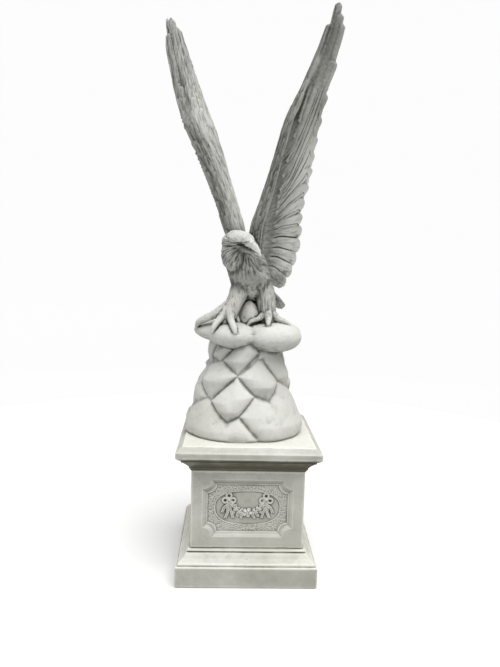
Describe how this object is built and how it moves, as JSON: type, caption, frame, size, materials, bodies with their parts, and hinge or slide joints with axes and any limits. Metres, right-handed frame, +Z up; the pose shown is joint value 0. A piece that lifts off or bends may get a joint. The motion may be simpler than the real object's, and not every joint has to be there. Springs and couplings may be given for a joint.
{
  "type": "stone eagle statue",
  "caption": "Cast stone eagle with raised wings standing on a mound of boulders, on a square panelled plinth with moulded base and cap.",
  "frame": {"origin": "centre of the plinth's underside", "axes": "+Z up, -Y towards the front panel of the plinth, +X to the viewer's right"},
  "size_m": [0.6741, 0.5919, 2.1673],
  "materials": {
    "eagle_stone": "matt weathered pale grey cast stone",
    "plinth_stone": "matt weathered warm grey cast stone"
  },
  "bodies": {
    "root": {"eagle_on_rock": "eagle_stone", "plinth_cap": "plinth_stone", "plinth_die": "plinth_stone", "plinth_base": "plinth_stone"}
  },
  "joints": []
}
